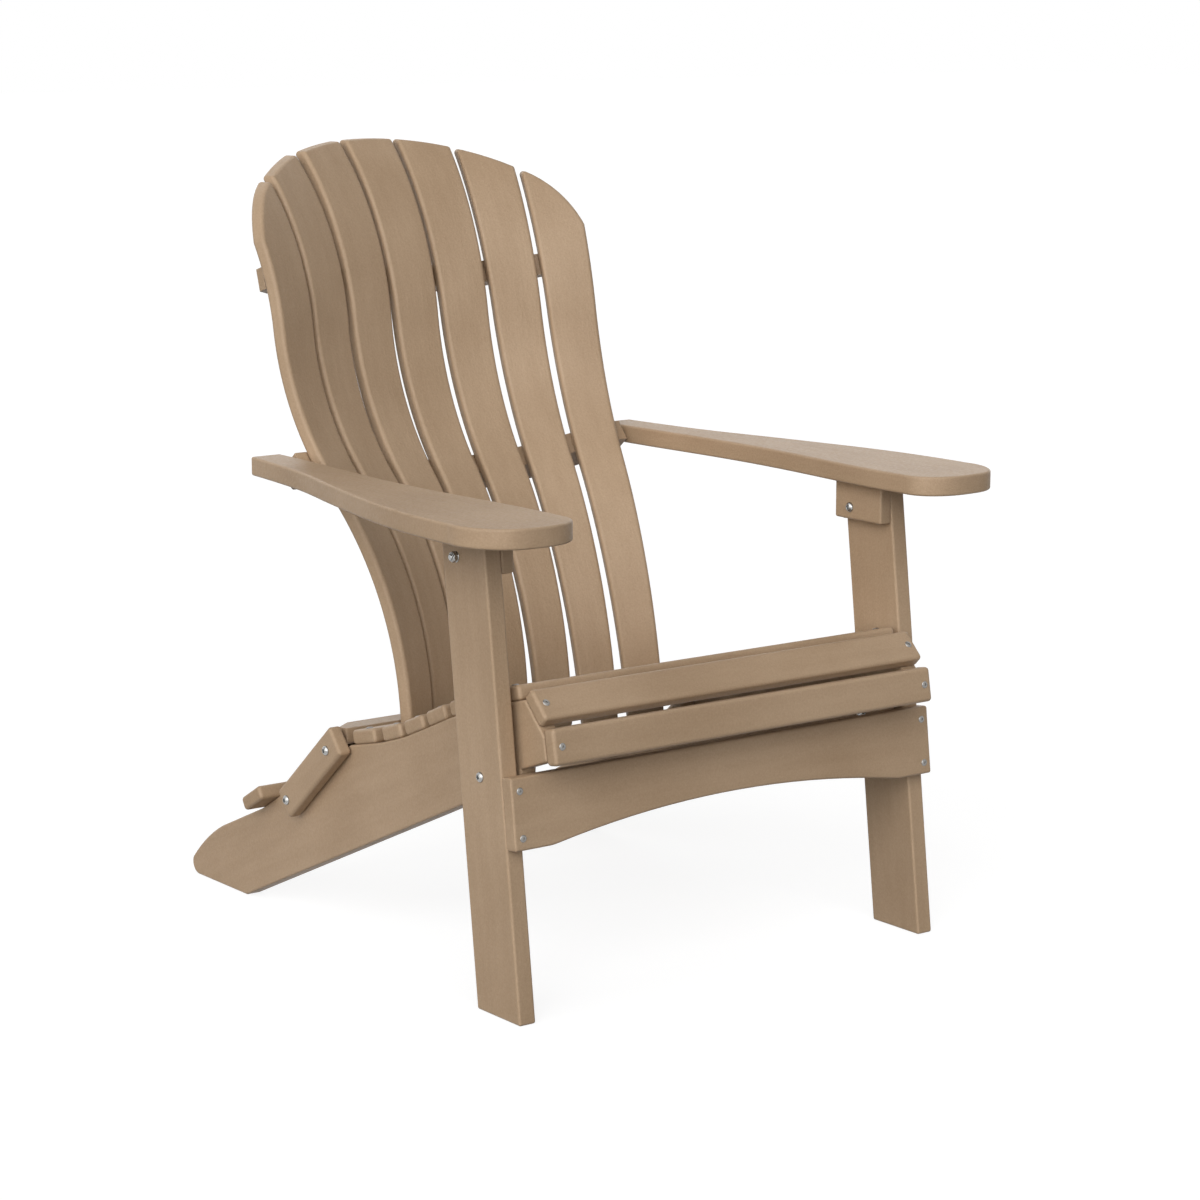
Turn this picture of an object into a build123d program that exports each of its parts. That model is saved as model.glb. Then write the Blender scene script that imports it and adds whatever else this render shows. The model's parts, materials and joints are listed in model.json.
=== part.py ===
"""Folding adirondack chair in poly lumber boards, millimetres, +Z up, front facing -Y.

The chair stands open. Its bodies are the seat (two stringers that run to the floor behind),
the front leg frame, two arms, two rear links and the slatted back.
Heights are measured from the floor. Left and right are the sitter's own: left is +X.
"""
import os
from math import acos, asin, cos, degrees, pi, radians, sin, sqrt, tan

from build123d import *

os.makedirs("parts", exist_ok=True)

SIDES = (("left", 1), ("right", -1))

# ---- board stock -------------------------------------------------------------------------
slat_board = 19.0            # thickness of slats, apron, links, lower back rail and stretcher
frame_board = 24.0           # thickness of legs and stringers
arm_board = 25.0             # thickness of arms
back_board = 30.0            # thickness of the arm-level and upper back rails
block_board = 18.0           # thickness of arm blocks
edge_round = 3.0             # rounding of the frame boards
slat_round = 5.0             # rounding of slats, links and stretcher

# ---- fits --------------------------------------------------------------------------------
rest_gap = 0.3               # between faces of different bodies that slide past each other
running_gap = 0.05           # radial play of a pivot bolt
board_gap = 1.2              # side play between moving boards

pick_margin = 0.05           # how near an edge or corner lies to the place it is picked by

# ---- widths across the chair (half values, from the middle plane) ------------------------
leg_outer = 332.0            # outer faces of the front legs
leg_inner = leg_outer - frame_board
spacer_thickness = 9.0       # spacer between leg and stringer
stringer_outer = leg_inner - spacer_thickness
stringer_inner = stringer_outer - frame_board
block_inner = leg_inner - block_board
link_inner = stringer_outer + board_gap
link_outer = link_inner + slat_board
cleat_outer = stringer_inner - board_gap
cleat_thickness = 23.0
cleat_inner = cleat_outer - cleat_thickness

# ---- front legs --------------------------------------------------------------------------
leg_width = 89.0
leg_rake = 6.9               # degrees, top further back
leg_foot_front = -233.1      # front edge of the leg on the floor
arm_underside = 588.0
arm_middle = arm_underside + arm_board / 2

# ---- pivots, as (y, z) -------------------------------------------------------------------
leg_pivot = (-153.8, 291.8)          # leg on stringer
arm_pivot_drop = 35.0                # arm pivot below the arm
arm_pivot_inset = 29.2               # arm pivot in from the leg's rear edge
arm_rear_pivot = (366.0, arm_middle)  # arm on back, the pivot that has play
link_top_pivot = (215.0, 252.0)      # back on link
link_foot_pivot = (315.0, 166.0)     # link on stringer

# ---- fasteners ---------------------------------------------------------------------------
bolt_radius = 4.0
bolt_head_radius = 6.6
bolt_head_height = 4.4
washer_radius = 7.6
washer_thickness = 1.6
nut_radius = 7.2
nut_height = 8.0
nut_dome_radius = 5.3
spacer_radius = 15.0
screw_radius = 2.2
screw_head_radius = 4.6
screw_head_height = 1.5
head_softness = 0.85         # rounding of a head's rim, as a share of its height
screw_bite = 20.0            # length of a screw inside the second board

# ---- seat: facets that the slats lie on, along the top of the stringer --------------------
stringer_nose = (-242.8, 322.2)      # lower front corner
seat_slat_width = 44.5
rear_slat_width = 53.5
seat_pitch = 55.2
seat_slat_setback = 5.0              # slat in from the start of its facet
# facet length, heading in degrees from +Y, start of the slat along the facet, slat width
SEAT_FACETS = (
    (30.0, 80.0, -5.1, seat_slat_width),
    (54.3, 45.0, 12.7, seat_slat_width),
    (59.4, -15.5, 9.2, seat_slat_width),
    (seat_pitch, -17.5, seat_slat_setback, seat_slat_width),
    (seat_pitch, -20.5, seat_slat_setback, seat_slat_width),
    (seat_pitch, -23.5, seat_slat_setback, seat_slat_width),
    (seat_pitch, -22.5, seat_slat_setback, seat_slat_width),
    (seat_pitch, -18.0, seat_slat_setback, seat_slat_width),
    (rear_slat_width + 22.0, -13.2, 13.4, rear_slat_width),
)
stringer_fall = 24.0                 # degrees, slope of the underside
stringer_toe_front = -189.0          # front end of the underside
stringer_heel_front = 460.0          # where the underside meets the floor
stringer_heel_rear = 590.0
stringer_heel_tip = (604.5, 23.0)
stringer_tail_top = (522.5, 84.1)    # rear end of the straight top edge
stringer_shoulder = (413.9, 131.3)   # top edge under the rear stretcher
stringer_tail_bulge = (2.7, 3.6)     # how far the middle of the tail stands out of the straight line
apron_relief = (-190.0, 303.0)       # stringer corner that clears the apron

# ---- front apron -------------------------------------------------------------------------
apron_low = 213.3                    # along the leg from the floor
apron_high = 301.6
apron_arch_rise = 24.5
apron_arch_half = 275.0
apron_arch_blend = 70.0
apron_screw_rows = (228.0, 284.9)

# ---- rear stretcher ----------------------------------------------------------------------
stretcher_half = 326.0
stretcher_depth = 52.0
stretcher_screw_rows = (14.0, 38.0)   # screws from the stretcher's front edge

# ---- rear links --------------------------------------------------------------------------
link_half_width = 21.0
link_head_reach = 26.6               # past the top pivot
link_foot_reach = 13.5               # past the foot pivot

# ---- arms (x, y) of the left arm ---------------------------------------------------------
ARM_INNER_EDGE = ((268.5, 400), (272, 290), (281, 130), (279, 10), (270, -110), (267, -235))
ARM_FRONT_EDGE = ((267, -235), (277, -266), (300, -281), (338, -285), (374, -277), (399, -250), (408, -200))
ARM_OUTER_EDGE = ((408, -200), (405, -110), (395, -30), (376, 62), (357, 146), (336, 232), (320, 335),
                  (313, 400))
block_front = -166.1
block_rear = -76.1
block_drop = 51.0
block_screw_inset = 13.0
arm_pin_reach = 15.0                 # pin inside the back rail
arm_pin_chamfer = 0.8
arm_pin_hold = 32.0                  # pin inside the arm
arm_pin_travel = 5.8                 # slot room before and behind the pin while the chair folds
arm_pin_lift = 2.5                   # slot room above and below the pin

# ---- back: S-shaped slats in a fan -------------------------------------------------------
slat_count = 7
slat_foot = (244.84, 222.0)          # front face of the middle slat at its foot, (y, z)
slat_foot_lean = -1.11               # degrees back from vertical
SLAT_ARCS = ((519.6, 42.51, 1), (398.5, 32.2, -1), (428.0, 42.0, 1))  # radius, sweep, leaning back or forth
fan_height = 610.0                   # height at which the fan is laid out
fan_radius = 456.6
fan_step = 9.3                       # degrees between neighbouring slats
FAN_TURN = (0.0, 8.2, 17.1, 20.9)    # turn of each slat towards the sitter
FAN_TILT = (0.0, -2.26, -4.48, -4.53)  # sideways tilt of each slat
slat_width_at_fan = 63.6
slat_taper = 0.0335                  # width gained per height
crown_top = 1011.6
crown_rise = 122.0
crown_half = 263.0
settling_steps = 30                  # rounds used to find where a slat meets the crown or a rail
settling_share = 0.6

# ---- back rails: height of the front face on the middle slat, half length, end depth -------
lower_rail_height = 267.8
arm_rail_height = 584.0
upper_rail_height = 830.0
lower_rail_half = 295.0
arm_rail_half = 267.0
upper_rail_half = 264.0
lower_rail_end_depth = 40.0
arm_rail_end_depth = 44.0
upper_rail_end_depth = 38.0
rail_middle_depth = 50.0
lower_rail_straight = 190.0          # half width past which a rail's rear edge runs straight
arm_rail_straight = 255.0
upper_rail_straight = 228.0
rail_clip = (26.0, 22.0)             # rear corners cut off the lower and upper rails, along and across
arm_rail_clip = (5.0, 5.0)           # the same on the arm rail, whose ends hold the pins
rail_screw_grip = 28.0
rail_screw_bite = 12.0
counterbore_radius = 5.5
cleat_front = 198.0
cleat_rear = 240.0
cleat_bottom = 234.0
cleat_screw_inset = 8.0

pieces = []


def keep(builder, name):
    """Label a finished sub-part and hold it until the whole chair can be centred."""
    builder.part.label = name
    pieces.append(builder.part)


def ahead(point, length, heading):
    """The point that lies a length away from a (y, z) point along a heading."""
    return (point[0] + length * cos(radians(heading)), point[1] + length * sin(radians(heading)))


def side_start(side, inner, thickness):
    """Lowest x of a board whose inner face stands at a half width, on either side."""
    return inner if side > 0 else -inner - thickness


def cross_plane(point, heading):
    """Plane across the chair at a (y, z) point: local Y runs along the heading, Z stands off it."""
    h = radians(heading)
    return Plane(origin=(0, point[0], point[1]), x_dir=(1, 0, 0), z_dir=(0, -sin(h), cos(h)))


def side_axis_plane(side, half_width, pivot):
    """Plane at a half width whose Z points away from the middle of the chair."""
    return Plane(origin=(side * half_width, pivot[0], pivot[1]), x_dir=(0, 1, 0), z_dir=(side, 0, 0))


def side_inward_plane(side, half_width, pivot):
    """Plane at a half width whose Z points towards the middle of the chair."""
    return Plane(origin=(side * half_width, pivot[0], pivot[1]), x_dir=(0, 1, 0), z_dir=(-side, 0, 0))


def seat_of(plane, x, y, z=0.0):
    """A fastener seat: the same plane moved to a local point."""
    return Plane(origin=plane.from_local_coords((x, y, z)), x_dir=plane.x_dir, z_dir=plane.z_dir)


def drill(planes, radius, depth, rise=0.0):
    """Cut a round hole down from each seat plane, and optionally upwards too."""
    with Locations(*planes):
        Cylinder(radius, depth, align=(Align.CENTER, Align.CENTER, Align.MAX), mode=Mode.SUBTRACT)
        if rise:
            Cylinder(counterbore_radius, rise, align=(Align.CENTER, Align.CENTER, Align.MIN),
                     mode=Mode.SUBTRACT)


def on_height(edge, planes, height):
    """Whether an edge's middle lies at a height above any of the seat planes."""
    return any(abs(plane.to_local_coords(edge.center()).Z - height) < pick_margin for plane in planes)


def screws(planes, length):
    """Pan-head screws, one on each seat plane, as separate solids."""
    with BuildPart() as group:
        with Locations(*planes):
            Cylinder(screw_radius, length, align=(Align.CENTER, Align.CENTER, Align.MAX))
            Cylinder(screw_head_radius, screw_head_height, align=(Align.CENTER, Align.CENTER, Align.MIN))
        rims = group.edges().filter_by(GeomType.CIRCLE)
        rims = rims.filter_by(lambda e: abs(e.radius - screw_head_radius) < pick_margin)
        tops = rims.filter_by(lambda e: on_height(e, planes, screw_head_height))
        fillet(tops, screw_head_height * head_softness)
    return group


def dome_bolts(planes, length):
    """Bolts with a domed head on each seat plane, as separate solids."""
    with BuildPart() as group:
        with Locations(*planes):
            Cylinder(bolt_radius, length, align=(Align.CENTER, Align.CENTER, Align.MAX))
            Cylinder(bolt_head_radius, bolt_head_height, align=(Align.CENTER, Align.CENTER, Align.MIN))
        rims = group.edges().filter_by(GeomType.CIRCLE)
        rims = rims.filter_by(lambda e: abs(e.radius - bolt_head_radius) < pick_margin)
        tops = rims.filter_by(lambda e: on_height(e, planes, bolt_head_height))
        fillet(tops, bolt_head_height * head_softness)
    return group


def nuts(planes):
    """Domed lock nuts on washers, standing up from each seat plane, as separate solids."""
    with BuildPart() as group:
        with Locations(*planes):
            Cylinder(washer_radius, washer_thickness, align=(Align.CENTER, Align.CENTER, Align.MIN))
        for plane in planes:
            with BuildSketch(seat_of(plane, 0, 0, washer_thickness)):
                RegularPolygon(nut_radius, 6)
            extrude(amount=nut_height - bolt_radius)
            with Locations(seat_of(plane, 0, 0, washer_thickness + nut_height - bolt_radius)):
                Sphere(nut_dome_radius, arc_size1=0, align=(Align.CENTER, Align.CENTER, Align.MIN))
        with Locations(*planes):
            Cylinder(bolt_radius, nut_height, align=(Align.CENTER, Align.CENTER, Align.MIN),
                     mode=Mode.SUBTRACT)
    return group


# ======================= seat body =========================================================

# corners of the stringer's seat line, and a plane on each facet for its slat
seat_corners = [stringer_nose]
for length, heading, start, width in SEAT_FACETS:
    seat_corners.append(ahead(seat_corners[-1], length, heading))
seat_planes = []
for corner, (length, heading, start, width) in zip(seat_corners, SEAT_FACETS):
    seat_planes.append(cross_plane(ahead(corner, start, heading), heading))

underside_slope = tan(radians(stringer_fall))
stringer_toe = (stringer_toe_front, underside_slope * (stringer_heel_front - stringer_toe_front))
rear_run = (stringer_shoulder[0] - seat_corners[-1][0], stringer_shoulder[1] - seat_corners[-1][1])
rear_heading = degrees(asin(rear_run[1] / sqrt(rear_run[0] ** 2 + rear_run[1] ** 2)))
stretcher_plane = cross_plane(ahead(stringer_shoulder, -stretcher_depth, rear_heading), rear_heading)
tail_middle = ((stringer_tail_top[0] + stringer_heel_tip[0]) / 2 + stringer_tail_bulge[0],
               (stringer_tail_top[1] + stringer_heel_tip[1]) / 2 + stringer_tail_bulge[1])

stringer_middle = (stringer_inner + stringer_outer) / 2
slat_seats = []
for plane, (length, heading, start, width) in zip(seat_planes, SEAT_FACETS):
    for side in (1, -1):
        slat_seats.append(seat_of(plane, side * stringer_middle, width / 2, slat_board))
stretcher_seats = []
for side in (1, -1):
    for row in stretcher_screw_rows:
        stretcher_seats.append(seat_of(stretcher_plane, side * stringer_middle, row, slat_board))

for name, side in SIDES:
    with BuildPart() as stringer:
        with BuildSketch(Plane.YZ.offset(side_start(side, stringer_inner, frame_board))):
            with BuildLine():
                Polyline(*seat_corners, stringer_shoulder, stringer_tail_top)
                ThreePointArc(stringer_tail_top, tail_middle, stringer_heel_tip)
                TangentArc((stringer_heel_rear, 0), stringer_heel_tip, tangent=(1, 0))
                Polyline((stringer_heel_rear, 0), (stringer_heel_front, 0), stringer_toe, apron_relief,
                         stringer_nose)
            make_face()
        extrude(amount=frame_board)
        fillet(stringer.edges(), edge_round)
        drill([side_axis_plane(side, stringer_outer, leg_pivot)], bolt_radius + running_gap, frame_board)
        drill([side_axis_plane(side, stringer_outer, link_foot_pivot)], bolt_radius, frame_board)
        drill(slat_seats, screw_radius, slat_board + screw_bite)
        drill(stretcher_seats, screw_radius, slat_board + screw_bite)
    keep(stringer, f"{name}_stringer")

for index, (plane, (length, heading, start, width)) in enumerate(zip(seat_planes, SEAT_FACETS), start=1):
    with BuildPart() as seat_slat:
        with BuildSketch(plane):
            Rectangle(2 * stringer_outer, width, align=(Align.CENTER, Align.MIN))
        extrude(amount=slat_board)
        fillet(seat_slat.edges(), slat_round)
        drill(slat_seats[2 * index - 2:2 * index], screw_radius, slat_board)
    keep(seat_slat, f"seat_slat_{index}")

keep(screws(slat_seats, slat_board + screw_bite), "seat_slat_screws")

with BuildPart() as rear_stretcher:
    with BuildSketch(stretcher_plane):
        Rectangle(2 * stretcher_half, stretcher_depth, align=(Align.CENTER, Align.MIN))
    extrude(amount=slat_board)
    fillet(rear_stretcher.edges(), slat_round)
    drill(stretcher_seats, screw_radius, slat_board)
keep(rear_stretcher, "rear_stretcher")

keep(screws(stretcher_seats, slat_board + screw_bite), "stretcher_screws")

link_foot_seats = [side_axis_plane(side, link_outer, link_foot_pivot) for name, side in SIDES]
keep(dome_bolts(link_foot_seats, link_outer - stringer_inner + nut_height), "link_foot_bolts")
link_foot_nut_seats = [side_inward_plane(side, stringer_inner, link_foot_pivot) for name, side in SIDES]
keep(nuts(link_foot_nut_seats), "link_foot_nuts")

# ======================= front leg frame ===================================================

rake = radians(leg_rake)
leg_up = (sin(rake), cos(rake))
leg_back = (cos(rake), -sin(rake))


def on_leg(along, across):
    """A (y, z) point along the leg from the floor and across it from its front edge."""
    return (leg_foot_front + along * leg_up[0] + across * leg_back[0],
            along * leg_up[1] + across * leg_back[1])


arm_pivot_height = arm_underside - arm_pivot_drop
arm_pivot_across = leg_width - arm_pivot_inset
arm_pivot_along = (arm_pivot_height + arm_pivot_across * sin(rake)) / cos(rake)
arm_pivot = on_leg(arm_pivot_along, arm_pivot_across)

leg_top = arm_underside - rest_gap
leg_turn_radius = leg_top - arm_pivot[1]
leg_corner_rise = sqrt(leg_turn_radius ** 2 - arm_pivot_inset ** 2)
leg_corner = on_leg(arm_pivot_along + leg_corner_rise, leg_width)
leg_corner_angle = asin((leg_corner[1] - arm_pivot[1]) / leg_turn_radius)
leg_turn_middle = ahead(arm_pivot, leg_turn_radius, degrees((leg_corner_angle + pi / 2) / 2))
leg_front_top = (leg_foot_front + leg_top * tan(rake), leg_top)
leg_rear_foot = (leg_foot_front + leg_width / cos(rake), 0)

apron_face = Plane(origin=(0, leg_foot_front, 0), x_dir=(1, 0, 0), z_dir=(0, -leg_back[0], -leg_back[1]))
apron_seats = []
for side in (1, -1):
    for row in apron_screw_rows:
        apron_seats.append(seat_of(apron_face, side * (leg_outer - frame_board / 2), row, slat_board))

for name, side in SIDES:
    with BuildPart() as front_leg:
        with BuildSketch(Plane.YZ.offset(side_start(side, leg_inner, frame_board))):
            with BuildLine():
                Polyline(leg_corner, leg_rear_foot, (leg_foot_front, 0), leg_front_top,
                         (arm_pivot[0], leg_top))
                ThreePointArc((arm_pivot[0], leg_top), leg_turn_middle, leg_corner)
            make_face()
        extrude(amount=frame_board)
        fillet(front_leg.edges(), edge_round)
        drill([side_axis_plane(side, leg_outer, leg_pivot)], bolt_radius, frame_board)
        drill([side_axis_plane(side, leg_outer, arm_pivot)], bolt_radius, frame_board)
        drill(apron_seats, screw_radius, slat_board + screw_bite)
    keep(front_leg, f"{name}_front_leg")

with BuildPart() as front_apron:
    with BuildSketch(apron_face):
        with BuildLine():
            Polyline((-apron_arch_half, apron_low), (-leg_outer, apron_low), (-leg_outer, apron_high),
                     (leg_outer, apron_high), (leg_outer, apron_low), (apron_arch_half, apron_low))
            ThreePointArc((apron_arch_half, apron_low), (0, apron_low + apron_arch_rise),
                          (-apron_arch_half, apron_low))
        make_face()
        fillet(vertices().filter_by(lambda v: abs(abs(v.X) - apron_arch_half) < pick_margin), apron_arch_blend)
    extrude(amount=slat_board)
    fillet(front_apron.edges(), edge_round)
    drill(apron_seats, screw_radius, slat_board)
keep(front_apron, "front_apron")

keep(screws(apron_seats, slat_board + screw_bite), "apron_screws")

leg_bolt_seats = [side_axis_plane(side, leg_outer, leg_pivot) for name, side in SIDES]
keep(dome_bolts(leg_bolt_seats, leg_outer - stringer_inner + nut_height), "leg_pivot_bolts")
leg_nut_seats = [side_inward_plane(side, stringer_inner, leg_pivot) for name, side in SIDES]
keep(nuts(leg_nut_seats), "leg_pivot_nuts")

with BuildPart() as leg_spacers:
    with Locations(*[side_axis_plane(side, leg_inner, leg_pivot) for name, side in SIDES]):
        Cylinder(spacer_radius, spacer_thickness, align=(Align.CENTER, Align.CENTER, Align.MAX))
        Cylinder(bolt_radius, spacer_thickness, align=(Align.CENTER, Align.CENTER, Align.MAX), mode=Mode.SUBTRACT)
keep(leg_spacers, "leg_spacers")

arm_bolt_seats = [side_inward_plane(side, block_inner, arm_pivot) for name, side in SIDES]
keep(dome_bolts(arm_bolt_seats, leg_outer - block_inner + nut_height), "arm_pivot_bolts")
arm_nut_seats = [side_axis_plane(side, leg_outer, arm_pivot) for name, side in SIDES]
keep(nuts(arm_nut_seats), "arm_pivot_nuts")

# ======================= arms ==============================================================

block_seats = []
for y in (block_front + block_screw_inset, block_rear - block_screw_inset):
    block_seats.append((y, arm_underside - block_drop))

for name, side in SIDES:
    block_middle = side * (block_inner + block_board / 2)
    under_seats = [Plane(origin=(block_middle, y, z), x_dir=(1, 0, 0), z_dir=(0, 0, -1)) for y, z in block_seats]
    pin_seat = side_axis_plane(side, arm_rail_half + arm_pin_hold, arm_rear_pivot)

    with BuildPart() as arm:
        with BuildSketch(Plane.XY.offset(arm_underside)):
            with BuildLine():
                Spline(*[(side * x, y) for x, y in ARM_INNER_EDGE])
                Spline(*[(side * x, y) for x, y in ARM_FRONT_EDGE])
                Spline(*[(side * x, y) for x, y in ARM_OUTER_EDGE])
                Line((side * ARM_OUTER_EDGE[-1][0], ARM_OUTER_EDGE[-1][1]),
                     (side * ARM_INNER_EDGE[0][0], ARM_INNER_EDGE[0][1]))
            make_face()
        extrude(amount=arm_board)
        fillet(arm.edges(), edge_round)
        drill([pin_seat], bolt_radius, arm_pin_hold + arm_pin_reach)
        drill(under_seats, screw_radius, block_drop + screw_bite)
    keep(arm, f"{name}_arm")

    with BuildPart() as arm_block:
        with BuildSketch(Plane.YZ.offset(side_start(side, block_inner, block_board))):
            with Locations(((block_front + block_rear) / 2, arm_underside - block_drop / 2)):
                Rectangle(block_rear - block_front, block_drop)
        extrude(amount=block_board)
        fillet(arm_block.edges(), edge_round)
        drill([side_axis_plane(side, leg_inner, arm_pivot)], bolt_radius + running_gap, block_board)
        drill(under_seats, screw_radius, block_drop)
    keep(arm_block, f"{name}_arm_block")

    keep(screws(under_seats, block_drop + screw_bite), f"{name}_arm_block_screws")

    with BuildPart() as arm_pin:
        with Locations(pin_seat):
            Cylinder(bolt_radius, arm_pin_hold + arm_pin_reach, align=(Align.CENTER, Align.CENTER, Align.MAX))
        chamfer(arm_pin.edges().filter_by(GeomType.CIRCLE), arm_pin_chamfer)
    keep(arm_pin, f"{name}_arm_pin")

# ======================= rear links ========================================================

link_run = (link_top_pivot[0] - link_foot_pivot[0], link_top_pivot[1] - link_foot_pivot[1])
link_span = sqrt(link_run[0] ** 2 + link_run[1] ** 2)
link_heading = degrees(acos(link_run[0] / link_span))
link_length = link_foot_reach + link_span + link_head_reach

for name, side in SIDES:
    foot = side_axis_plane(1, side_start(side, link_inner, slat_board), link_foot_pivot)
    with BuildPart() as link:
        with BuildSketch(foot):
            with Locations(Location((0, 0), link_heading)):
                with Locations(((link_length / 2 - link_foot_reach), 0)):
                    Rectangle(link_length, 2 * link_half_width)
        extrude(amount=slat_board)
        fillet(link.edges(), slat_round)
        drill([side_axis_plane(side, link_outer, link_foot_pivot)], bolt_radius + running_gap, slat_board)
        drill([side_axis_plane(side, link_outer, link_top_pivot)], bolt_radius + running_gap, slat_board)
    keep(link, f"{name}_rear_link")

# ======================= back ==============================================================


def slat_face(height):
    """Front face of the middle slat at a height: its y and its lean in radians."""
    y, z, lean = slat_foot[0], slat_foot[1], radians(slat_foot_lean)
    for radius, sweep, way in SLAT_ARCS:
        end = lean + way * radians(sweep)
        top = z + way * radius * (sin(end) - sin(lean))
        if height <= top or (radius, sweep, way) == SLAT_ARCS[-1]:
            here = asin(sin(lean) + way * (height - z) / radius)
            return y + way * radius * (cos(lean) - cos(here)), here
        y, z, lean = y + way * radius * (cos(lean) - cos(end)), top, end


fan_front = slat_face(fan_height)[0]


def slat_frame(step):
    """Plane of a slat counted from the middle one: local X across, Y through, Z up the slat."""
    count, way = abs(step), 1 if step >= 0 else -1
    turn, tilt = radians(FAN_TURN[count]) * way, radians(FAN_TILT[count]) * way
    angle = radians(fan_step) * step
    origin = (fan_radius * sin(angle), fan_front - fan_radius * (1 - cos(angle)), fan_height)
    return Plane(origin=origin,
                 x_dir=(cos(tilt) * cos(turn), -cos(tilt) * sin(turn), -sin(tilt)),
                 z_dir=(sin(tilt) * cos(turn), -sin(tilt) * sin(turn), cos(tilt)))


def slat_half(height):
    """Half width of a slat at a height along it."""
    return (slat_width_at_fan + slat_taper * (height - fan_height)) / 2


def slat_point(frame, across, height, depth):
    """World point of a slat: across it, up it, and behind its front face."""
    y, lean = slat_face(height)
    local = (across, y + depth * cos(lean) - fan_front, height - depth * sin(lean) - fan_height)
    return frame.from_local_coords(local)


def crown_height(x):
    """Height of the rounded crown of the back at a distance from the middle."""
    return crown_top - crown_rise * (1 - sqrt(max(0.0, 1 - (x / crown_half) ** 2)))


def slat_end(frame, way):
    """Local (x, z) of a slat's top on one edge (way -1 or 1) or its middle (way 0)."""
    height = crown_top
    for attempt in range(settling_steps):
        point = slat_point(frame, way * slat_half(height), height, 0)
        height += settling_share * (crown_height(point.X) - point.Z)
    return (way * slat_half(height), height - fan_height)


rail_steps = range(-(slat_count // 2), slat_count // 2 + 1)


def rail_plane(height):
    """Plane of a rail: square to the middle slat, with local Y going rearward from its back face."""
    y, lean = slat_face(height)
    origin = (0, y + slat_board * cos(lean), height - slat_board * sin(lean))
    return Plane(origin=origin, x_dir=(1, 0, 0), z_dir=(0, sin(lean), cos(lean)))


def rail_contact(plane, step, across):
    """Point where a slat's back face crosses a rail plane, in the plane's own (x, y)."""
    frame = slat_frame(step)
    height = plane.origin.Z
    for attempt in range(settling_steps):
        point = plane.to_local_coords(slat_point(frame, across * slat_half(height), height, slat_board))
        height -= point.Z
    return point


def rail_front(contacts, x):
    """Depth of a rail's front edge at x: straight between the slats' edges, level past the last."""
    for near, far in zip(contacts, contacts[1:]):
        if near.X <= x <= far.X:
            return near.Y + (far.Y - near.Y) * (x - near.X) / (far.X - near.X)
    return contacts[-1].Y


# plane, half length, half width of the curved rear edge, depth at the ends, thickness, clipped corners
rails = {
    "lower_back_rail": (rail_plane(lower_rail_height), lower_rail_half, lower_rail_straight,
                        lower_rail_end_depth, slat_board, rail_clip),
    "back_arm_rail": (rail_plane(arm_rail_height), arm_rail_half, arm_rail_straight,
                      arm_rail_end_depth, back_board, arm_rail_clip),
    "upper_back_rail": (rail_plane(upper_rail_height), upper_rail_half, upper_rail_straight,
                        upper_rail_end_depth, back_board, rail_clip),
}

lower_plane = rails["lower_back_rail"][0]
lower_lean = slat_face(lower_rail_height)[1]


def under_rail(y):
    """Height of the lower rail's underside at a y."""
    drop = slat_board / 2 / cos(lower_lean)
    return lower_plane.origin.Z - drop - (y - lower_plane.origin.Y) * tan(lower_lean)


# screws that hold the hinge cleats up to the lower rail
cleat_screw_length = under_rail(cleat_front) - cleat_bottom + rail_screw_bite
cleat_seats = []
for name, side in SIDES:
    for y in (cleat_front + cleat_screw_inset, cleat_rear - cleat_screw_inset):
        origin = (side * (cleat_inner + cleat_thickness / 2), y, cleat_bottom)
        cleat_seats.append(Plane(origin=origin, x_dir=(1, 0, 0), z_dir=(0, 0, -1)))

# screw seats in the rails: each lies behind a slat, at the bottom of a counterbore
rail_seats = {}
slat_seats_by_step = {step: [] for step in rail_steps}
for rail_name, (plane, half, straight, end_depth, thickness, clip) in rails.items():
    rail_seats[rail_name] = []
    for step in rail_steps:
        contact = rail_contact(plane, step, 0)
        origin = plane.from_local_coords((contact.X, contact.Y + rail_screw_grip, 0))
        seat = Plane(origin=origin, x_dir=(1, 0, 0), z_dir=plane.y_dir)
        rail_seats[rail_name].append(seat)
        slat_seats_by_step[step].append(seat)

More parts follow.
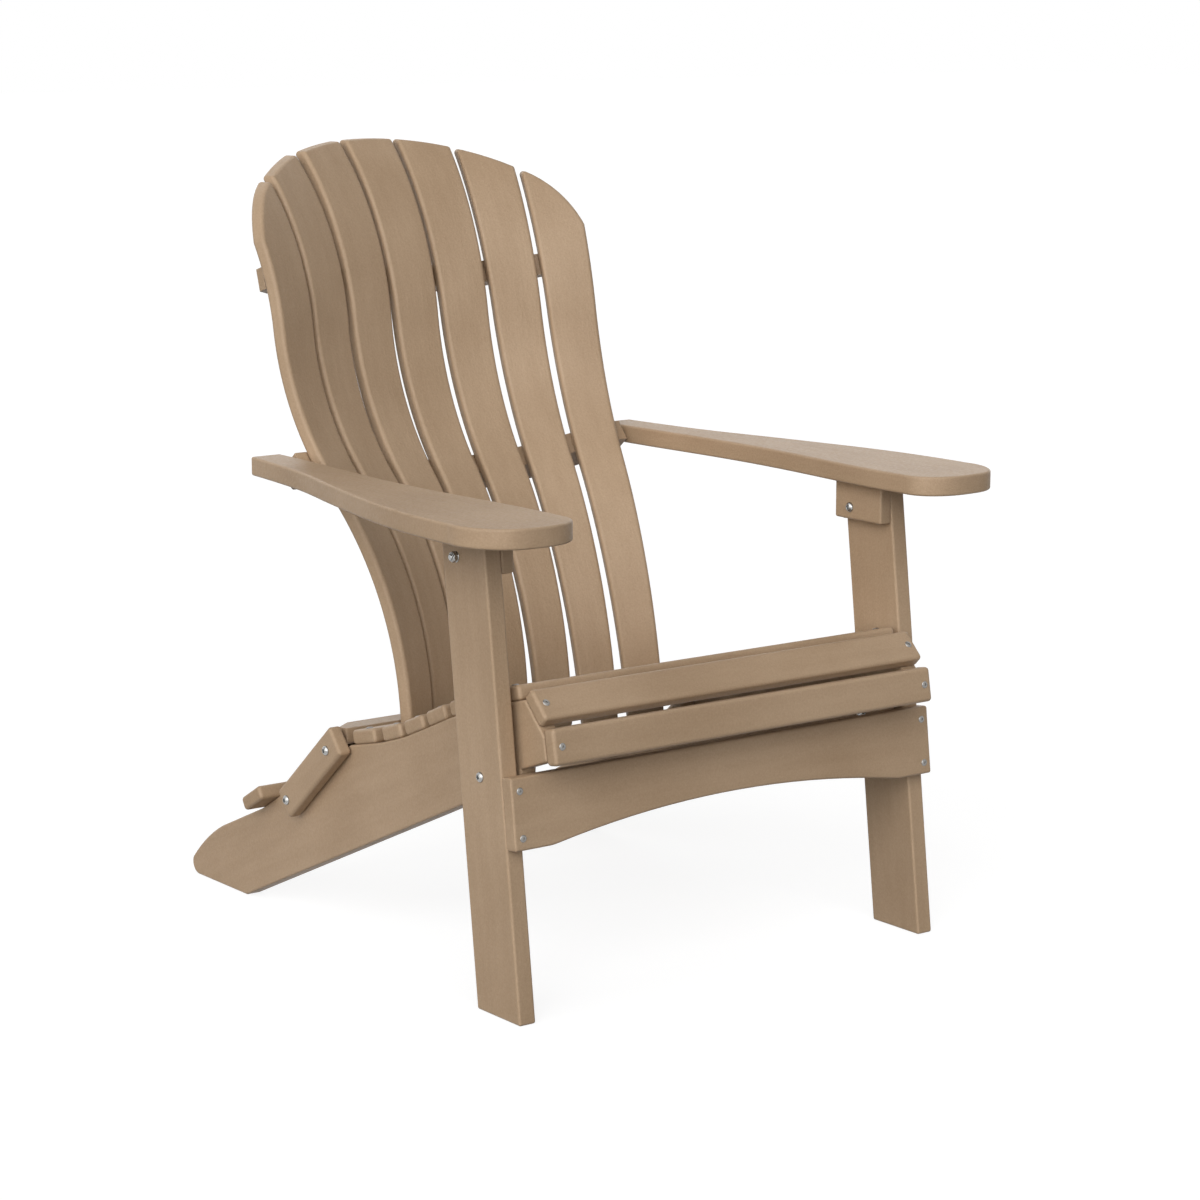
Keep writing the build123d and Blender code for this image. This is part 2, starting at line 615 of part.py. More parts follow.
slat_solids = []
for number, step in enumerate(rail_steps, start=1):
    frame = slat_frame(step)
    side_view = Plane(origin=frame.origin, x_dir=frame.y_dir, z_dir=frame.x_dir)
    front_view = Plane(origin=frame.origin, x_dir=frame.x_dir, z_dir=-frame.y_dir)
    low = slat_foot[1] - fan_height
    low_half = slat_half(slat_foot[1])
    with BuildPart() as back_slat:
        with BuildSketch(side_view):
            with BuildLine():
                lean = slat_foot_lean
                front_foot = (slat_foot[0] - fan_front, low)
                start = front_foot
                for radius, sweep, way in SLAT_ARCS:
                    arc = JernArc(start, (sin(radians(lean)), cos(radians(lean))), radius, -way * sweep)
                    start = arc @ 1
                    lean += way * sweep
                front_top = start
                lean = slat_foot_lean
                rear_foot = (front_foot[0] + slat_board * cos(radians(lean)),
                             front_foot[1] - slat_board * sin(radians(lean)))
                start = rear_foot
                for radius, sweep, way in SLAT_ARCS:
                    arc = JernArc(start, (sin(radians(lean)), cos(radians(lean))),
                                  radius - way * slat_board, -way * sweep)
                    start = arc @ 1
                    lean += way * sweep
                Line(front_foot, rear_foot)
                Line(front_top, start)
            make_face()
        extrude(amount=slat_half(crown_top), both=True)
        left_top, middle_top, right_top = slat_end(frame, -1), slat_end(frame, 0), slat_end(frame, 1)
        with BuildSketch(front_view):
            with BuildLine():
                Polyline(left_top, (-low_half, low), (low_half, low), right_top)
                ThreePointArc(right_top, middle_top, left_top)
            make_face()
        extrude(amount=fan_radius, both=True, mode=Mode.INTERSECT)
        slat_solids.append(back_slat.part)
        fillet(back_slat.edges(), slat_round)
        drill(slat_seats_by_step[step], screw_radius, rail_screw_grip + rail_screw_bite)
    keep(back_slat, f"back_slat_{number}")

for rail_name, (plane, half, straight, end_depth, thickness, clip) in rails.items():
    contacts = [rail_contact(plane, step, across) for step in rail_steps for across in (-1, 1)]
    corners = [-half] + [contact.X for contact in contacts if abs(contact.X) < half] + [half]
    front_edge = [(x, rail_front(contacts, x)) for x in corners]
    end_rear = front_edge[-1][1] + end_depth
    clip_start, clip_end = half - clip[0], end_rear - clip[1]
    with BuildPart() as rail:
        with BuildSketch(plane):
            with BuildLine():
                Polyline((-straight, end_rear), (-clip_start, end_rear), (-half, clip_end), *front_edge,
                         (half, clip_end), (clip_start, end_rear), (straight, end_rear))
                ThreePointArc((straight, end_rear), (0, rail_middle_depth), (-straight, end_rear))
            make_face()
        extrude(amount=thickness / 2, both=True)
        fillet(rail.edges().filter_by(GeomType.CIRCLE), edge_round)
        drill(rail_seats[rail_name], screw_radius, rail_screw_grip + rail_screw_bite,
              rise=rail_middle_depth + end_depth)
        if rail_name == "back_arm_rail":
            for name, side in SIDES:
                with BuildSketch(side_axis_plane(side, half, arm_rear_pivot)):
                    SlotCenterToCenter(2 * arm_pin_travel, 2 * (bolt_radius + arm_pin_lift))
                extrude(amount=-arm_pin_reach - board_gap, mode=Mode.SUBTRACT)
        if rail_name == "lower_back_rail":
            drill(cleat_seats, screw_radius, cleat_screw_length)
        add(slat_solids, mode=Mode.SUBTRACT)
    keep(rail, rail_name)

back_screw_seats = [seat for seats in rail_seats.values() for seat in seats]
keep(screws(back_screw_seats, rail_screw_grip + rail_screw_bite), "back_rail_screws")

for name, side in SIDES:
    with BuildPart() as hinge_cleat:
        with BuildSketch(Plane.YZ.offset(side_start(side, cleat_inner, cleat_thickness))):
            with BuildLine():
                Polyline((cleat_front, cleat_bottom), (cleat_rear, cleat_bottom), (cleat_rear, under_rail(cleat_rear)),
                         (cleat_front, under_rail(cleat_front)), close=True)
            make_face()
        extrude(amount=cleat_thickness)
        fillet(hinge_cleat.edges(), edge_round)
        drill([side_axis_plane(side, cleat_outer, link_top_pivot)], bolt_radius, cleat_thickness)
        drill(cleat_seats, screw_radius, cleat_screw_length)
    keep(hinge_cleat, f"{name}_hinge_cleat")

keep(screws(cleat_seats, cleat_screw_length), "hinge_cleat_screws")

link_top_seats = [side_axis_plane(side, link_outer, link_top_pivot) for name, side in SIDES]
keep(dome_bolts(link_top_seats, link_outer - cleat_inner + nut_height), "link_top_bolts")
link_top_nut_seats = [side_inward_plane(side, cleat_inner, link_top_pivot) for name, side in SIDES]
keep(nuts(link_top_nut_seats), "link_top_nuts")

# ======================= write the parts, centred on the floor =============================

boxes = [piece.bounding_box() for piece in pieces]
to_centre = Location((0, -(min(box.min.Y for box in boxes) + max(box.max.Y for box in boxes)) / 2, 0))
print("shift y", to_centre.position.Y, "floor", min(box.min.Z for box in boxes))
for label, point in (("leg", leg_pivot), ("arm", arm_pivot), ("arm rear", arm_rear_pivot),
                     ("link top", link_top_pivot), ("link foot", link_foot_pivot)):
    print("pivot", label, round(point[0] + to_centre.position.Y, 3), round(point[1], 3))

for piece in pieces:
    centred = piece.moved(to_centre)
    centred.label = piece.label
    export_step(centred, f"parts/{piece.label}.step")
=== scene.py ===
"""Folding adirondack chair: finishes, fasteners, floor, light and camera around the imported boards."""
import json
from math import radians

import bpy
import numpy as np
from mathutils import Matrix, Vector


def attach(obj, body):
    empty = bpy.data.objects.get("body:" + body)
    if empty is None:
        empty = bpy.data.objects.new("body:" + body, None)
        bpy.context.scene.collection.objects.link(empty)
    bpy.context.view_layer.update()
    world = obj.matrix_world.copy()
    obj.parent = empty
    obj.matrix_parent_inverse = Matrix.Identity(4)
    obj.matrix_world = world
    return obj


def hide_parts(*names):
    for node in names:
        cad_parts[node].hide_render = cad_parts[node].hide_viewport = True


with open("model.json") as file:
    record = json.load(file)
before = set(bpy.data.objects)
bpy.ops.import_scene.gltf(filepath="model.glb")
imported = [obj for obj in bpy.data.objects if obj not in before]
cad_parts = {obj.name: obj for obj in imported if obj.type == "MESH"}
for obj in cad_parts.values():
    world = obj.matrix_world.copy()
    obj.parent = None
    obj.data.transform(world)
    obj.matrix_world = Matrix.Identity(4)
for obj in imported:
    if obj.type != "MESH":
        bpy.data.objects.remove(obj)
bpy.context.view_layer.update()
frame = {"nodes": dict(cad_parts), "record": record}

nodes = frame["nodes"]
bodies = frame["record"]["behaviour"]["bodies"]
body_of_node = {name: body for body, names in bodies.items() for name in names}

# ---- finish values ------------------------------------------------------------------------
TAN = (0.391, 0.271, 0.170)            # board colour, linear
TAN_DEEP = (0.327, 0.219, 0.130)       # darker drifts in the plastic
TAN_PALE = tuple(2 * plain - deep for plain, deep in zip(TAN, TAN_DEEP))   # paler drifts
TAN_EDGE_HIGHLIGHT = (0.450, 0.323, 0.214)      # painted highlight on the edges, a lighter tan where the rounded edges catch the light
STEEL = (0.44, 0.44, 0.43)
SCREW_STEEL = (0.31, 0.30, 0.285)
NYLON = (0.055, 0.050, 0.046)
EDGE_SOFTNESS = 0.0016                 # metres, rounding that the light sees on a board's edges
SKIN_DEPTH = 0.00055                   # metres, depth of the moulded skin
SCUFF_DEPTH = 0.00004                  # metres, depth of the scuffs on steel and nylon
BOARD_SHEEN = 0.36                     # strength of the plastic's reflection
BOARD_IOR = 1.5                        # how much the plastic bends light
EDGE_HIGHLIGHT_SHARE = 0.55                          # share of the painted edge highlight in an edge's colour
DULLED = 0.72                          # share of a metal's colour left in its scuffs

# ---- sizes of the patterns, in repeats to the metre ---------------------------------------
PEBBLES = 420.0
DIMPLES = 250.0
STREAKS = 240.0
BRUSHING = 60.0
DRIFTS = 5.5
SAW_LINES = 900.0
SCUFFS = 900.0
GRAIN_STRETCH = 9.0                    # times longer along a board than across it
SAW_STRETCH = 0.12                     # share of the saw lines' repeats left across the chair

# ---- fasteners ----------------------------------------------------------------------------
MILLIMETRE = 0.001
TURNS = 36                             # points round a fastener
WIDEST = 0.995                         # share of a fastener's radius that counts as its widest ring
UPRIGHT = 0.9                          # upward share past which an axis counts as upright
CRISP = 32.0                           # degrees between two faces, past which their edge is crisp
BOLT_SHANK = 4.0                       # radii in millimetres
BOLT_HEAD = 6.6
SCREW_SHANK = 2.2
SCREW_HEAD = 4.6
NUT_FLAT = 6.0                         # from the nut's axis to each of its six flats

# ---- floor, light and camera --------------------------------------------------------------
FLOOR_REACH = 30.0                     # metres from the middle of the floor to its edges
FLOOR_GAP = 0.0005                     # metres from the feet down to the floor
FLOOR_BOUNCE = 0.12                    # share of the light that the floor throws back on the chair
FLOOR_SHADE = 0.25                     # share of the light that draws the chair's shadow
FLOOR_GLOW = 0.87                      # plain white under that shadow
SKY_LIGHT = 0.06                       # light from all round
BACKDROP = 1.0                         # white behind the chair
LAMPS = (                              # name, the direction it stands in, strength, degrees wide
    ("key", (-0.90, -0.25, 0.35), 1.85, 60),
    ("front", (-0.45, -0.75, 0.48), 1.84, 60),
    ("behind", (0.55, 0.80, 0.34), 1.10, 80),
)
CAMERA_PLACE = (-2.479, -3.4275, 1.226)
CAMERA_TURN = -36.78                   # degrees from looking straight at the front
CAMERA_FALL = 10.77                    # degrees below level
CAMERA_LENS = 97.4                     # millimetres
CAMERA_SENSOR = 36.0                   # millimetres
CAMERA_REACH = 100.0                   # metres


# ======================= shader groups =====================================================

def group_with(name, inputs, outputs):
    """An empty shader group with named sockets, and its two end nodes."""
    tree = bpy.data.node_groups.new(name, "ShaderNodeTree")
    for label, kind, value in inputs:
        socket = tree.interface.new_socket(label, in_out="INPUT", socket_type=kind)
        if value is not None:
            socket.default_value = value
    for label, kind in outputs:
        tree.interface.new_socket(label, in_out="OUTPUT", socket_type=kind)
    return tree, tree.nodes.new("NodeGroupInput"), tree.nodes.new("NodeGroupOutput")


def link(tree, a, b):
    """Join one socket to another."""
    tree.links.new(a, b)


def noise(tree, vector, scale, detail=2.0, rough=0.5):
    """Smooth noise over a place, mostly between 0.3 and 0.7."""
    node = tree.nodes.new("ShaderNodeTexNoise")
    node.inputs["Scale"].default_value = scale
    node.inputs["Detail"].default_value = detail
    node.inputs["Roughness"].default_value = rough
    link(tree, vector, node.inputs["Vector"])
    return node.outputs["Fac"]


def combine(tree, operation, a, b=None, c=None, clamp=False):
    """One arithmetic step on values or sockets."""
    node = tree.nodes.new("ShaderNodeMath")
    node.operation = operation
    node.use_clamp = clamp
    for slot, value in zip(node.inputs, (a, b, c)):
        if value is None:
            continue
        if isinstance(value, (int, float)):
            slot.default_value = value
        else:
            link(tree, value, slot)
    return node.outputs[0]


def spread(tree, value, low, high, to_low=0.0, to_high=1.0):
    """Stretch a value from one range to another, held inside it."""
    node = tree.nodes.new("ShaderNodeMapRange")
    for label, number in (("From Min", low), ("From Max", high), ("To Min", to_low), ("To Max", to_high)):
        node.inputs[label].default_value = number
    link(tree, value, node.inputs["Value"])
    return node.outputs["Result"]


def mix_colour(tree, factor, a, b):
    """Colour between two others, by a share from 0 to 1."""
    node = tree.nodes.new("ShaderNodeMix")
    node.data_type = "RGBA"
    for slot, value in zip((node.inputs[0], node.inputs[6], node.inputs[7]), (factor, a, b)):
        if isinstance(value, (int, float)):
            slot.default_value = value
        elif isinstance(value, tuple):
            slot.default_value = (*value, 1.0)
        else:
            link(tree, value, slot)
    return node.outputs[2]


def moulded_skin_group():
    """Poly lumber skin: fine pebbling, short streaks along the board and slow drifts of tone."""
    tree, start, end = group_with(
        "moulded_skin",
        [("Place", "NodeSocketVector", None), ("Run", "NodeSocketVector", None)],
        [("Height", "NodeSocketFloat"), ("Drift", "NodeSocketFloat"), ("Gloss", "NodeSocketFloat")])
    place, run = start.outputs["Place"], start.outputs["Run"]
    pebble = noise(tree, place, PEBBLES, 2.0, 0.55)
    dimple = noise(tree, place, DIMPLES, 1.5, 0.45)
    streak = noise(tree, run, STREAKS, 3.0, 0.6)
    height = combine(tree, "MULTIPLY_ADD", streak, 0.75, combine(tree, "MULTIPLY", pebble, 0.45))
    height = combine(tree, "MULTIPLY_ADD", dimple, 0.8, height)
    link(tree, height, end.inputs["Height"])
    slow = noise(tree, place, DRIFTS, 2.0, 0.5)
    brushed = noise(tree, run, BRUSHING, 3.0, 0.55)
    drift = combine(tree, "MULTIPLY_ADD", spread(tree, slow, 0.3, 0.7), 0.55,
                    combine(tree, "MULTIPLY", spread(tree, brushed, 0.3, 0.7), 0.25))
    drift = combine(tree, "MULTIPLY_ADD", spread(tree, pebble, 0.3, 0.7), 0.35, drift)
    link(tree, drift, end.inputs["Drift"])
    link(tree, spread(tree, dimple, 0.3, 0.7, 0.46, 0.60), end.inputs["Gloss"])
    return tree


def edge_group():
    """Rounded normal over an edge, and a mask that is 1 where the surface turns over it."""
    tree, start, end = group_with(
        "edge_turn", [("Radius", "NodeSocketFloat", EDGE_SOFTNESS)],
        [("Rounded", "NodeSocketVector"), ("Edge", "NodeSocketFloat")])
    bevel = tree.nodes.new("ShaderNodeBevel")
    bevel.samples = 6
    link(tree, start.outputs["Radius"], bevel.inputs["Radius"])
    wide = tree.nodes.new("ShaderNodeBevel")
    wide.samples = 6
    link(tree, combine(tree, "MULTIPLY", start.outputs["Radius"], 2.0), wide.inputs["Radius"])
    geometry = tree.nodes.new("ShaderNodeNewGeometry")
    dot = tree.nodes.new("ShaderNodeVectorMath")
    dot.operation = "DOT_PRODUCT"
    link(tree, wide.outputs["Normal"], dot.inputs[0])
    link(tree, geometry.outputs["True Normal"], dot.inputs[1])
    link(tree, bevel.outputs["Normal"], end.inputs["Rounded"])
    link(tree, spread(tree, dot.outputs["Value"], 0.995, 0.90), end.inputs["Edge"])
    return tree


def cut_end_group():
    """Mask of the sawn ends of a board, from the side its surface faces, with fine saw lines."""
    tree, start, end = group_with(
        "cut_end", [("Along", "NodeSocketVector", None), ("Facing", "NodeSocketVector", None),
                    ("Place", "NodeSocketVector", None)],
        [("Mask", "NodeSocketFloat"), ("Lines", "NodeSocketFloat")])
    dot = tree.nodes.new("ShaderNodeVectorMath")
    dot.operation = "DOT_PRODUCT"
    link(tree, start.outputs["Along"], dot.inputs[0])
    link(tree, start.outputs["Facing"], dot.inputs[1])
    facing = combine(tree, "ABSOLUTE", dot.outputs["Value"])
    link(tree, spread(tree, facing, 0.90, 0.97), end.inputs["Mask"])
    squeeze = tree.nodes.new("ShaderNodeVectorMath")
    squeeze.operation = "MULTIPLY"
    link(tree, start.outputs["Place"], squeeze.inputs[0])
    squeeze.inputs[1].default_value = (SAW_STRETCH, 1.0, 1.0)
    link(tree, noise(tree, squeeze.outputs["Vector"], SAW_LINES, 2.0, 0.5), end.inputs["Lines"])
    return tree


SKIN = moulded_skin_group()
EDGES = edge_group()
CUT_END = cut_end_group()


def placed(tree, group):
    """A shader group put into a material."""
    node = tree.nodes.new("ShaderNodeGroup")
    node.node_tree = group
    return node


def new_material(name):
    """An empty material, its nodes and its shader."""
    material = bpy.data.materials.new(name)
    material.use_nodes = True
    tree = material.node_tree
    return material, tree, tree.nodes["Principled BSDF"]


def lumber(name, run):
    """Tan poly lumber whose board runs along a direction."""
    material, tree, shader = new_material(name)
    coordinates = tree.nodes.new("ShaderNodeTexCoord")
    turn = tree.nodes.new("ShaderNodeMapping")
    turn.vector_type = "TEXTURE"
    turn.inputs["Rotation"].default_value = Vector(run).to_track_quat("X", "Z").to_euler()
    turn.inputs["Scale"].default_value = (GRAIN_STRETCH, 1.0, 1.0)
    link(tree, coordinates.outputs["Object"], turn.inputs["Vector"])
    skin = placed(tree, SKIN)
    link(tree, coordinates.outputs["Object"], skin.inputs["Place"])
    link(tree, turn.outputs["Vector"], skin.inputs["Run"])
    cut = placed(tree, CUT_END)
    cut.inputs["Along"].default_value = Vector(run).normalized()
    link(tree, coordinates.outputs["Normal"], cut.inputs["Facing"])
    link(tree, coordinates.outputs["Object"], cut.inputs["Place"])
    edge = placed(tree, EDGES)

    colour = mix_colour(tree, skin.outputs["Drift"], TAN_DEEP, TAN_PALE)
    # painted highlight: the colour turns toward a lighter tan over the edges, where rounded edges catch the
    # light
    edge_highlight = combine(tree, "MULTIPLY", edge.outputs["Edge"], EDGE_HIGHLIGHT_SHARE)
    colour = mix_colour(tree, edge_highlight, colour, TAN_EDGE_HIGHLIGHT)
    link(tree, colour, shader.inputs["Base Color"])
    roughness = combine(tree, "MULTIPLY_ADD", cut.outputs["Mask"], 0.12, skin.outputs["Gloss"])
    roughness = combine(tree, "MULTIPLY_ADD", edge.outputs["Edge"], -0.10, roughness, clamp=True)
    link(tree, roughness, shader.inputs["Roughness"])
    shader.inputs["Specular IOR Level"].default_value = BOARD_SHEEN
    height = tree.nodes.new("ShaderNodeMix")
    link(tree, cut.outputs["Mask"], height.inputs[0])
    link(tree, skin.outputs["Height"], height.inputs[2])
    link(tree, cut.outputs["Lines"], height.inputs[3])
    bump = tree.nodes.new("ShaderNodeBump")
    bump.inputs["Strength"].default_value = 0.8
    bump.inputs["Distance"].default_value = SKIN_DEPTH
    link(tree, height.outputs[0], bump.inputs["Height"])
    link(tree, edge.outputs["Rounded"], bump.inputs["Normal"])
    link(tree, bump.outputs["Normal"], shader.inputs["Normal"])
    shader.inputs["IOR"].default_value = BOARD_IOR
    return material


def metal(name, colour, low, high, metallic=1.0):
    """Satin steel or nylon: fine scuffs change how sharp the reflection is."""
    material, tree, shader = new_material(name)
    coordinates = tree.nodes.new("ShaderNodeTexCoord")
    scuff = noise(tree, coordinates.outputs["Object"], SCUFFS, 3.0, 0.6)
    dull = tuple(DULLED * level for level in colour)
    scuffed = mix_colour(tree, spread(tree, scuff, 0.35, 0.65), dull, colour)
    link(tree, scuffed, shader.inputs["Base Color"])
    link(tree, spread(tree, scuff, 0.3, 0.7, low, high), shader.inputs["Roughness"])
    shader.inputs["Metallic"].default_value = metallic
    bump = tree.nodes.new("ShaderNodeBump")
    bump.inputs["Strength"].default_value = 0.5
    bump.inputs["Distance"].default_value = SCUFF_DEPTH
    link(tree, scuff, bump.inputs["Height"])
    link(tree, bump.outputs["Normal"], shader.inputs["Normal"])
    return material


# ======================= board finishes ====================================================

across = lumber("lumber_across", (1, 0, 0))
fore_aft = lumber("lumber_fore_aft", (0, 1, 0))
stringer_run = lumber("lumber_stringer", (0, -0.914, 0.407))
leg_run = lumber("lumber_leg", (0, 0.120, 0.993))
link_run = lumber("lumber_link", (0, -0.758, 0.652))
slat_run = lumber("lumber_back_slat", (0, 0.35, 0.94))
steel = metal("satin_steel", STEEL, 0.16, 0.30)
screw_steel = metal("screw_steel", SCREW_STEEL, 0.30, 0.46)
nylon = metal("spacer_nylon", NYLON, 0.38, 0.55, metallic=0.0)


def finish_of(name):
    """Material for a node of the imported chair, by the kind of board it is."""
    if name.startswith("back_slat"):
        return slat_run
    if name.endswith("front_leg"):
        return leg_run
    if name.endswith("stringer"):
        return stringer_run
    if name.endswith("rear_link"):
        return link_run
    if name.endswith(("_arm", "arm_block", "hinge_cleat")):
        return fore_aft
    if name == "leg_spacers":
        return nylon
    if name.endswith(("bolts", "nuts", "pin")):
        return steel
    if name.endswith("screws"):
        return screw_steel
    return across


for name, board in nodes.items():
    board.data.materials.clear()
    board.data.materials.append(finish_of(name))


# ======================= fasteners =========================================================

def solids_of(node):
    """Corner points of each solid in a node.

    Corners that share a place are joined, and each takes the lowest label among its triangles
    until nothing changes, which leaves one label per solid.
    """
    mesh = nodes[node].data
    points = np.empty(len(mesh.vertices) * 3, np.float32)
    mesh.vertices.foreach_get("co", points)
    places, index = np.unique(np.round(points.reshape(-1, 3), 6), axis=0, return_inverse=True)
    corners = np.empty(len(mesh.loops), np.int32)
    mesh.loops.foreach_get("vertex_index", corners)
    triangles = index.reshape(-1)[corners].reshape(-1, 3)
    label, settled = np.arange(len(places)), False
    while not settled:
        lowest = label.copy()
        np.minimum.at(lowest, triangles.reshape(-1), np.repeat(label[triangles].min(axis=1), 3))
        settled = (lowest == label).all()
        label = lowest
    return [places[label == solid] for solid in np.unique(label)]


def seats_of(node, axis=None, wide_end_sits=False):
    """Seat centre, outward direction and length below the seat of each fastener in a node.

    The direction is the solid's longest one unless it is given. A screw or bolt has its widest
    ring outside the seat, and a nut has it on the seat.
    """
    found = []
    for cloud in solids_of(node):
        middle = (cloud.max(axis=0) + cloud.min(axis=0)) / 2
        if axis is None:
            run = np.linalg.svd(cloud - middle, full_matrices=False)[2][0]
        else:
            run = np.array(axis, float)
        along = (cloud - middle) @ run
        radius = np.linalg.norm((cloud - middle) - along[:, None] * run, axis=1)
        rim = along[radius > radius.max() * WIDEST]
        outward = 1.0 if (rim.mean() > 0) != wide_end_sits else -1.0
        seat = (along * outward).min() if wide_end_sits else (rim * outward).min()
        found.append((middle + seat * outward * run, outward * run, seat - (along * outward).min()))
    return found


def turned_solids(name, node, rows, body, frames):
    """Equal turned solids, one on each seat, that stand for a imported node.

    Every row gives a height over the seat and a radius for each angle round the axis. A point is
    the seat plus height times the outward axis plus radius times (cosine times the first cross
    axis plus sine times the second). The first and last rows shrink to closed poles.
    """
    vertices, faces, first = [], [], 0
    for seat, outward, length in frames:
        heights, radii = rows(length)
        side = np.cross(outward, (0.0, 0.0, 1.0) if abs(outward[2]) < UPRIGHT else (1.0, 0.0, 0.0))
        side /= np.linalg.norm(side)
        other = np.cross(outward, side)
        ring = np.cos(ANGLES)[:, None] * side + np.sin(ANGLES)[:, None] * other
        grid = seat + heights[:, None, None] * outward + radii[:, :, None] * ring[None]
        count = len(heights)
        poles = np.array([grid[0].mean(axis=0), grid[-1].mean(axis=0)])
        vertices.append(np.concatenate([grid[1:-1].reshape(-1, 3), poles]))
        step = np.arange(TURNS)
        after = (step + 1) % TURNS
        row = np.arange(count - 3)[:, None] * TURNS
        quads = np.stack([row + step, row + TURNS + step, row + TURNS + after, row + after], axis=-1)
        quads = quads.reshape(-1, 4)
        top, bottom, last = (count - 2) * TURNS, (count - 2) * TURNS + 1, (count - 3) * TURNS
        caps = np.concatenate([np.stack([np.full(TURNS, top), step, after], axis=-1),
                               np.stack([np.full(TURNS, bottom), last + after, last + step], axis=-1)])
        faces += (quads + first).tolist() + (caps + first).tolist()
        first += len(vertices[-1])
    mesh = bpy.data.meshes.new(name)
    mesh.from_pydata(np.concatenate(vertices).tolist(), [], faces)
    mesh.validate()
    mesh.polygons.foreach_set("use_smooth", np.ones(len(mesh.polygons), bool))
    mesh.set_sharp_from_angle(angle=radians(CRISP))
    piece = bpy.data.objects.new(name, mesh)
    bpy.context.scene.collection.objects.link(piece)
    mesh.materials.append(finish_of(node))
    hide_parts(node)
    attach(piece, body)


ANGLES = np.linspace(0, 2 * np.pi, TURNS, endpoint=False)
ROUND = np.ones(TURNS)
# distance to the edge of a hexagon whose flats lie at 1, and a six-lobed star round 1
HEXAGON = 1 / np.cos((ANGLES + np.pi / 6) % (np.pi / 3) - np.pi / 6)
STAR = 1 + 0.15 * np.cos(6 * ANGLES)


def stacked(rows):
    """Heights and radii, in metres, of rows given in millimetres."""
    heights = np.array([height for height, radius in rows]) * MILLIMETRE
    radii = np.array([radius * ROUND for height, radius in rows]) * MILLIMETRE
    return heights, radii


def domed(height, radius, inner, low, count):
    """Rows down a dome, from an inner radius at its top out to the rim at its low height.

    The height is the low one plus the rest times the root of one minus the share of the radius
    to the power 2.4.
    """
    reach = np.linspace(inner / radius, 1.0, count)
    drop = low + (height - low) * np.sqrt(np.maximum(0.0, 1 - reach ** 2.4))
    return [(drop[i], radius * reach[i]) for i in range(count)]


def bolt_rows(length):
    """Button head with a hexagon socket, a plain shank and a chamfered end."""
    end = -length / MILLIMETRE
    return stacked([(1.8, 0), (1.8, 2.4 * HEXAGON), (4.1, 2.5 * HEXAGON), (4.32, 3.1)]
                   + domed(4.4, BOLT_HEAD, 3.3, 0.45, 9)
                   + [(0.12, 6.55), (0.0, 6.3), (0.0, BOLT_SHANK),
                      (end + 0.8, BOLT_SHANK), (end, 3.3), (end, 0)])


def screw_rows(length):
    """Low round head with a six-lobed recess, a shank and a point."""
    end = -length / MILLIMETRE
    return stacked([(0.25, 0), (0.25, 1.45 * STAR), (1.32, 1.6 * STAR), (1.46, 2.15)]
                   + domed(1.5, SCREW_HEAD, 2.3, 0.4, 7)
                   + [(0.1, 4.55), (0.0, 4.4), (0.0, SCREW_SHANK),
                      (end + 5.0, 2.1), (end + 0.4, 0.4), (end, 0)])


def nut_rows(length):
    """The bolt's end, a plastic collar, a hexagon nut with its corners turned off and a washer.

    The collar and the nut stand on the seat, so the length isn't used.
    """
    hexagon = NUT_FLAT * HEXAGON
    return stacked([(9.4, 0), (9.4, 3.1), (8.9, 3.75), (7.3, 3.85), (7.3, 4.2), (7.9, 4.6), (7.7, 5.1),
                    (6.9, 5.5), (6.5, 5.6), (6.3, np.minimum(hexagon, 6.1)), (5.4, np.minimum(hexagon, 6.9)),
                    (2.0, np.minimum(hexagon, 6.92)), (1.3, np.minimum(hexagon, 6.1)),
                    (1.25, 6.7), (1.0, 7.0), (0.25, 7.0), (0.0, 6.7), (0.0, 0)])


for node in sorted(nodes):
    body = body_of_node[node]
    if node.endswith("screws"):
        turned_solids("head_" + node, node, screw_rows, body, seats_of(node))
    elif node.endswith("bolts"):
        turned_solids("head_" + node, node, bolt_rows, body, seats_of(node, (1, 0, 0)))
    elif node.endswith("nuts"):
        turned_solids("lock_" + node, node, nut_rows, body, seats_of(node, (1, 0, 0), wide_end_sits=True))

# ======================= floor, light and camera ===========================================

def grey(level):
    """Colour of one level."""
    return (level, level, level, 1.0)


def seen(tree):
    """1 for what is seen straight, in a mirror or through glass, and 0 for what lights the chair."""
    path = tree.nodes.new("ShaderNodeLightPath")
    indirect = combine(tree, "MAXIMUM", path.outputs["Is Glossy Ray"], path.outputs["Is Transmission Ray"])
    return combine(tree, "MAXIMUM", path.outputs["Is Camera Ray"], indirect)


def matte(tree, level):
    """Plain matte grey."""
    node = tree.nodes.new("ShaderNodeBsdfDiffuse")
    node.inputs["Color"].default_value = grey(level)
    return node.outputs[0]


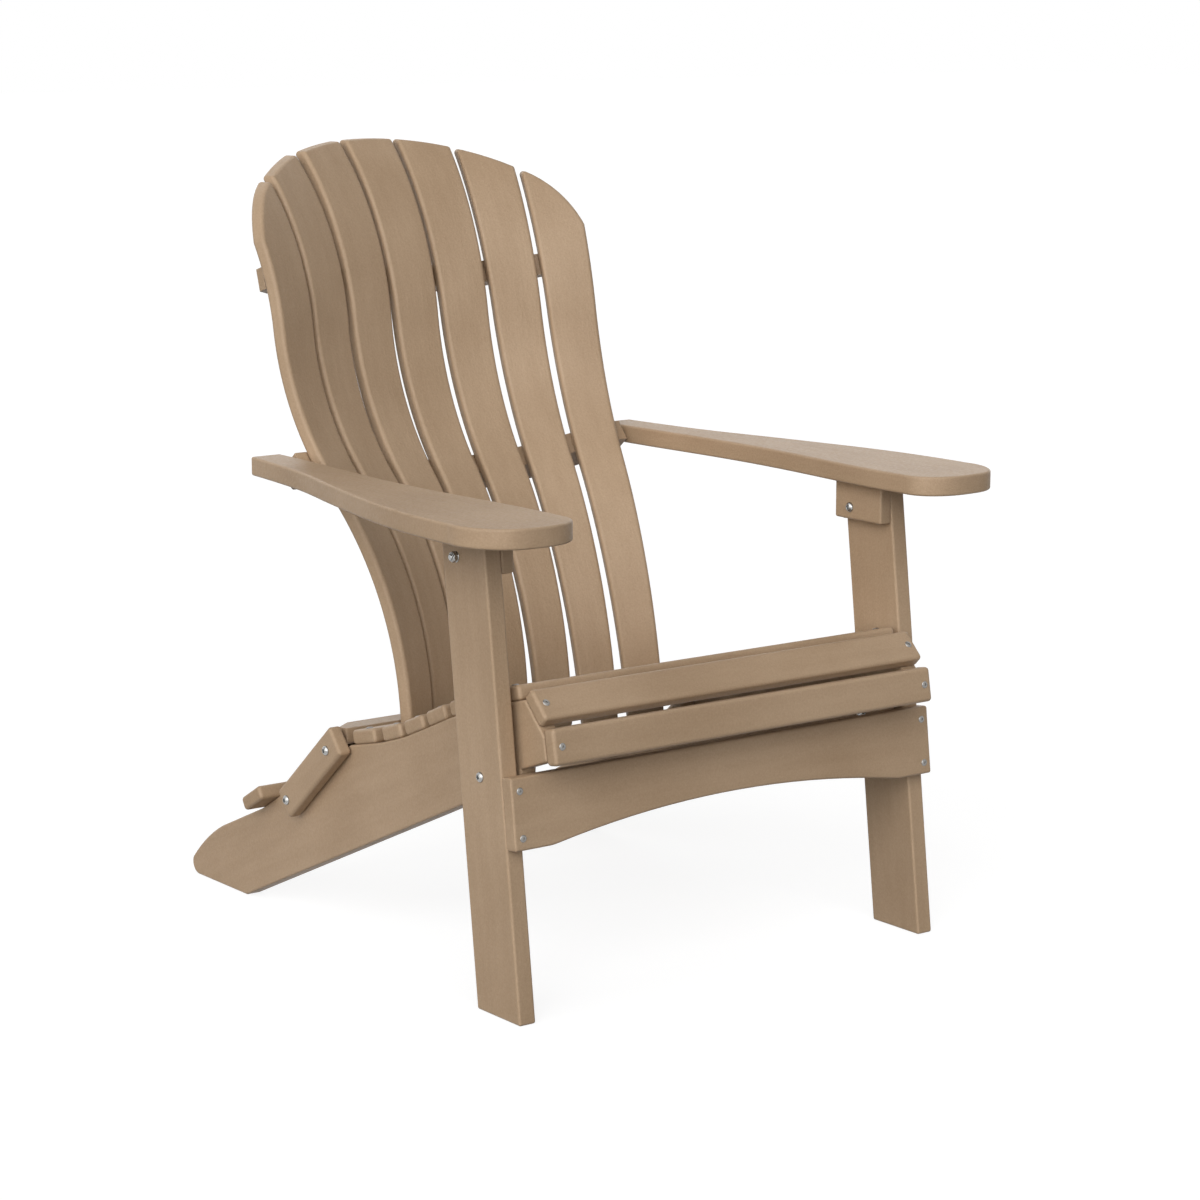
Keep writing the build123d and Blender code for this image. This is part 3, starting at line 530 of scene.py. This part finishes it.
floor_mesh = bpy.data.meshes.new("floor")
corners = [(-FLOOR_REACH, -FLOOR_REACH, 0), (FLOOR_REACH, -FLOOR_REACH, 0),
           (FLOOR_REACH, FLOOR_REACH, 0), (-FLOOR_REACH, FLOOR_REACH, 0)]
floor_mesh.from_pydata(corners, [], [(0, 1, 2, 3)])
floor = bpy.data.objects.new("floor", floor_mesh)
floor.location.z = -FLOOR_GAP
bpy.context.scene.collection.objects.link(floor)
paint, tree, shader = new_material("floor_paint")
tree.nodes.remove(shader)
glow = tree.nodes.new("ShaderNodeEmission")
glow.inputs["Strength"].default_value = FLOOR_GLOW
shadowed = tree.nodes.new("ShaderNodeAddShader")
link(tree, matte(tree, FLOOR_SHADE), shadowed.inputs[0])
link(tree, glow.outputs[0], shadowed.inputs[1])
choice = tree.nodes.new("ShaderNodeMixShader")
link(tree, seen(tree), choice.inputs[0])
link(tree, matte(tree, FLOOR_BOUNCE), choice.inputs[1])
link(tree, shadowed.outputs[0], choice.inputs[2])
link(tree, choice.outputs[0], tree.nodes["Material Output"].inputs["Surface"])
floor_mesh.materials.append(paint)

world = bpy.data.worlds.new("studio")
bpy.context.scene.world = world
world.use_nodes = True
tree = world.node_tree
background = tree.nodes["Background"]
link(tree, spread(tree, seen(tree), 0.0, 1.0, SKY_LIGHT, BACKDROP), background.inputs["Strength"])
background.inputs["Color"].default_value = grey(1.0)

for name, toward, strength, width in LAMPS:
    lamp = bpy.data.lights.new(name, "SUN")
    lamp.energy = strength
    lamp.angle = radians(width)
    holder = bpy.data.objects.new(name, lamp)
    holder.rotation_mode = "QUATERNION"
    holder.rotation_quaternion = (-Vector(toward)).to_track_quat("-Z", "Y")
    bpy.context.scene.collection.objects.link(holder)

camera_data = bpy.data.cameras.new("camera")
camera_data.lens = CAMERA_LENS
camera_data.sensor_width = CAMERA_SENSOR
camera_data.clip_end = CAMERA_REACH
camera = bpy.data.objects.new("camera", camera_data)
bpy.context.scene.collection.objects.link(camera)
bpy.context.scene.camera = camera
camera.location = CAMERA_PLACE
azimuth, fall = radians(CAMERA_TURN), radians(CAMERA_FALL)
aim = Vector((-np.sin(azimuth) * np.cos(fall), np.cos(azimuth) * np.cos(fall), -np.sin(fall)))
camera.rotation_mode = "QUATERNION"
camera.rotation_quaternion = aim.to_track_quat("-Z", "Y")

bpy.context.scene.view_settings.view_transform = "Standard"
